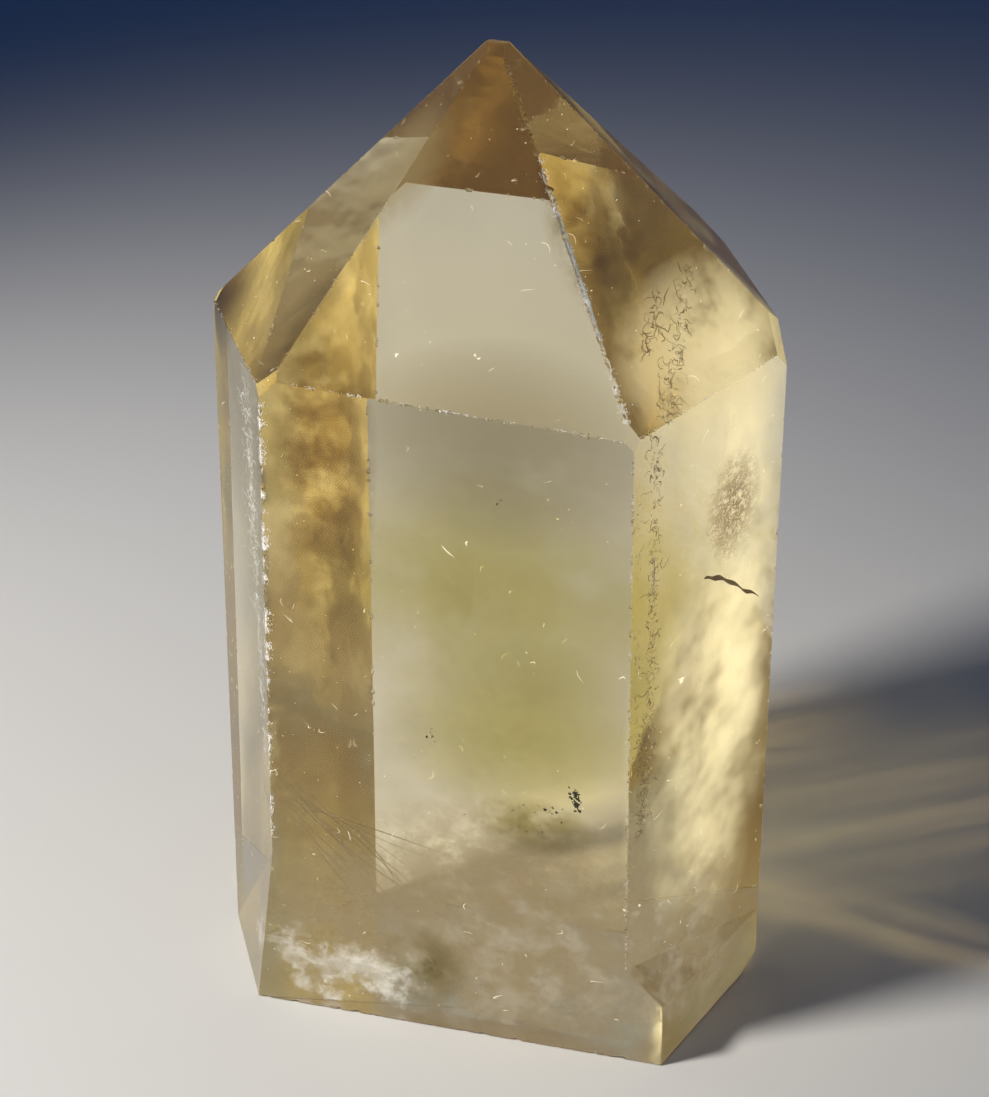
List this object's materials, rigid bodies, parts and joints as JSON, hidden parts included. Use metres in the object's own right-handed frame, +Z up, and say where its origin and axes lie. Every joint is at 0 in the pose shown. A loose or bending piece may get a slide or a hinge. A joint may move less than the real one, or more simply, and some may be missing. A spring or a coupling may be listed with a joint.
{
  "type": "citrine crystal point",
  "caption": "Clear, polished citrine quartz point: a six-sided prism with a faceted pointed end, a blunt worn tip, and a flat foot that it stands on.",
  "frame": {"origin": "middle of the crystal's outline, on the surface that its flat foot rests on", "axes": "+Z up the crystal towards its tip; +X along the widest side of the foot; the broad front face looks towards -Y"},
  "size_m": [0.0444, 0.034, 0.0843],
  "materials": {
    "citrine": "polished, clear, honey yellow"
  },
  "bodies": {
    "root": {"crystal_point": "citrine"}
  },
  "joints": []
}
